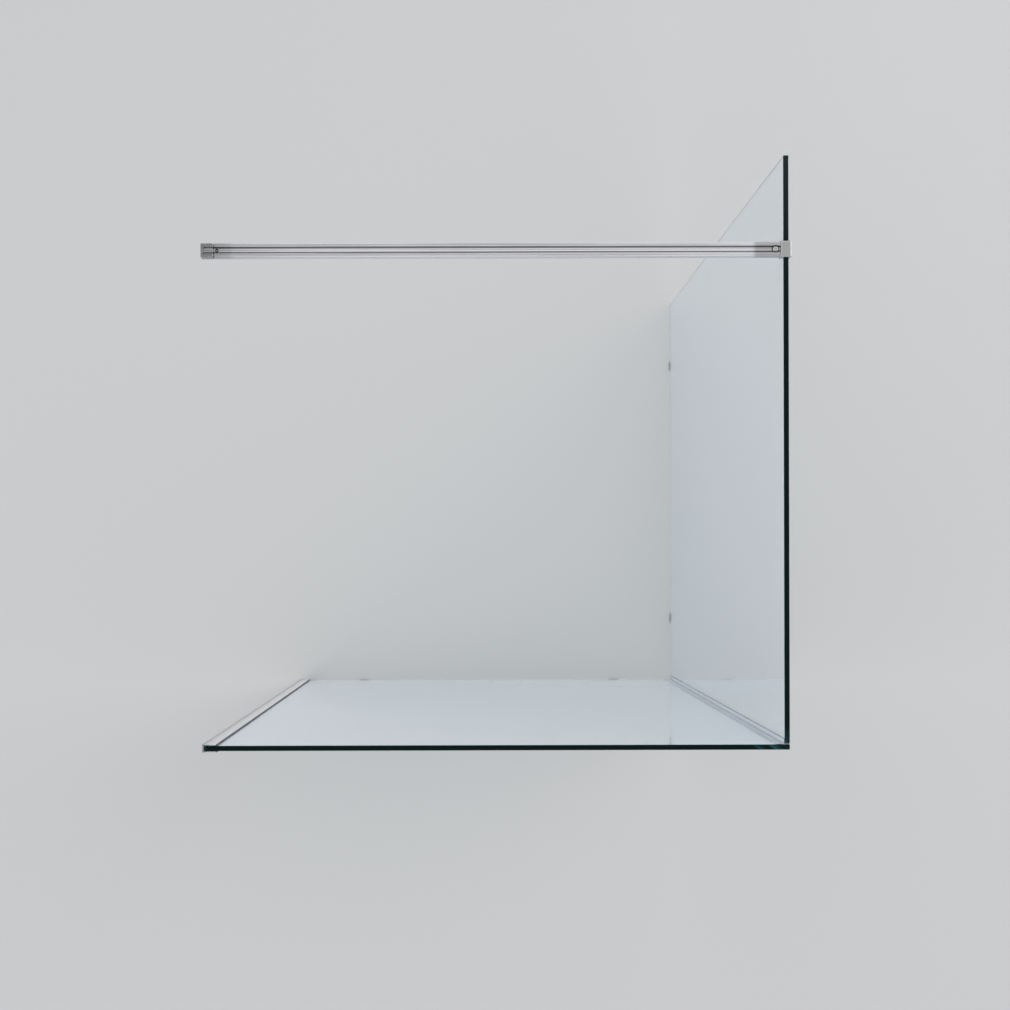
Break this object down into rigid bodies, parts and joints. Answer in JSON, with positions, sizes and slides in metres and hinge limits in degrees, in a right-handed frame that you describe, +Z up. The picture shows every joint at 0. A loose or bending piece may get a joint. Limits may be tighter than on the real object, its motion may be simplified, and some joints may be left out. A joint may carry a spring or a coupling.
{
  "type": "walk-in shower enclosure",
  "caption": "L-shaped walk-in shower enclosure: two clear glass panes meeting at a corner, a slim wall channel and a grooved stabiliser bar from wall to glass.",
  "frame": {"origin": "on the floor, under the middle of the enclosure's overall box", "axes": "+Z up, +X from the wall into the room, +Y from the front pane towards the way in"},
  "size_m": [0.8946, 0.902, 2.004],
  "materials": {
    "clear_glass": "clear toughened glass, polished, dark green on its edges",
    "bright_aluminium": "bright anodised, fine grain along the profile",
    "chromed_casting": "satin chrome on a casting",
    "screw_steel": "stainless",
    "grey_rubber": "matte",
    "clear_vinyl": "clear flexible strip",
    "block_plastic": "moulded"
  },
  "bodies": {
    "wall_fittings": {"wall_channel": "bright_aluminium", "channel_inner_gasket": "grey_rubber", "channel_outer_gasket": "grey_rubber", "holder_wall_plate": "chromed_casting", "wall_holder": "chromed_casting", "holder_set_screw": "screw_steel"},
    "glazing": {"front_glass": "clear_glass", "side_glass": "clear_glass", "front_setting_blocks": "block_plastic", "side_setting_blocks": "block_plastic", "corner_butt_seal": "clear_vinyl", "corner_angle_seal": "clear_vinyl", "stabiliser_bar": "bright_aluminium", "bar_wall_plug": "block_plastic", "bar_wall_screw": "screw_steel", "bar_clamp_screw": "screw_steel", "glass_clamp": "chromed_casting", "clamp_liner": "clear_vinyl", "clamp_set_screws": "screw_steel"}
  },
  "joints": [
    {"name": "width_adjustment", "type": "slide", "parent": "wall_fittings", "child": "glazing", "axis": [1, 0, 0], "range_m": [-0.001, 0.004]}
  ]
}
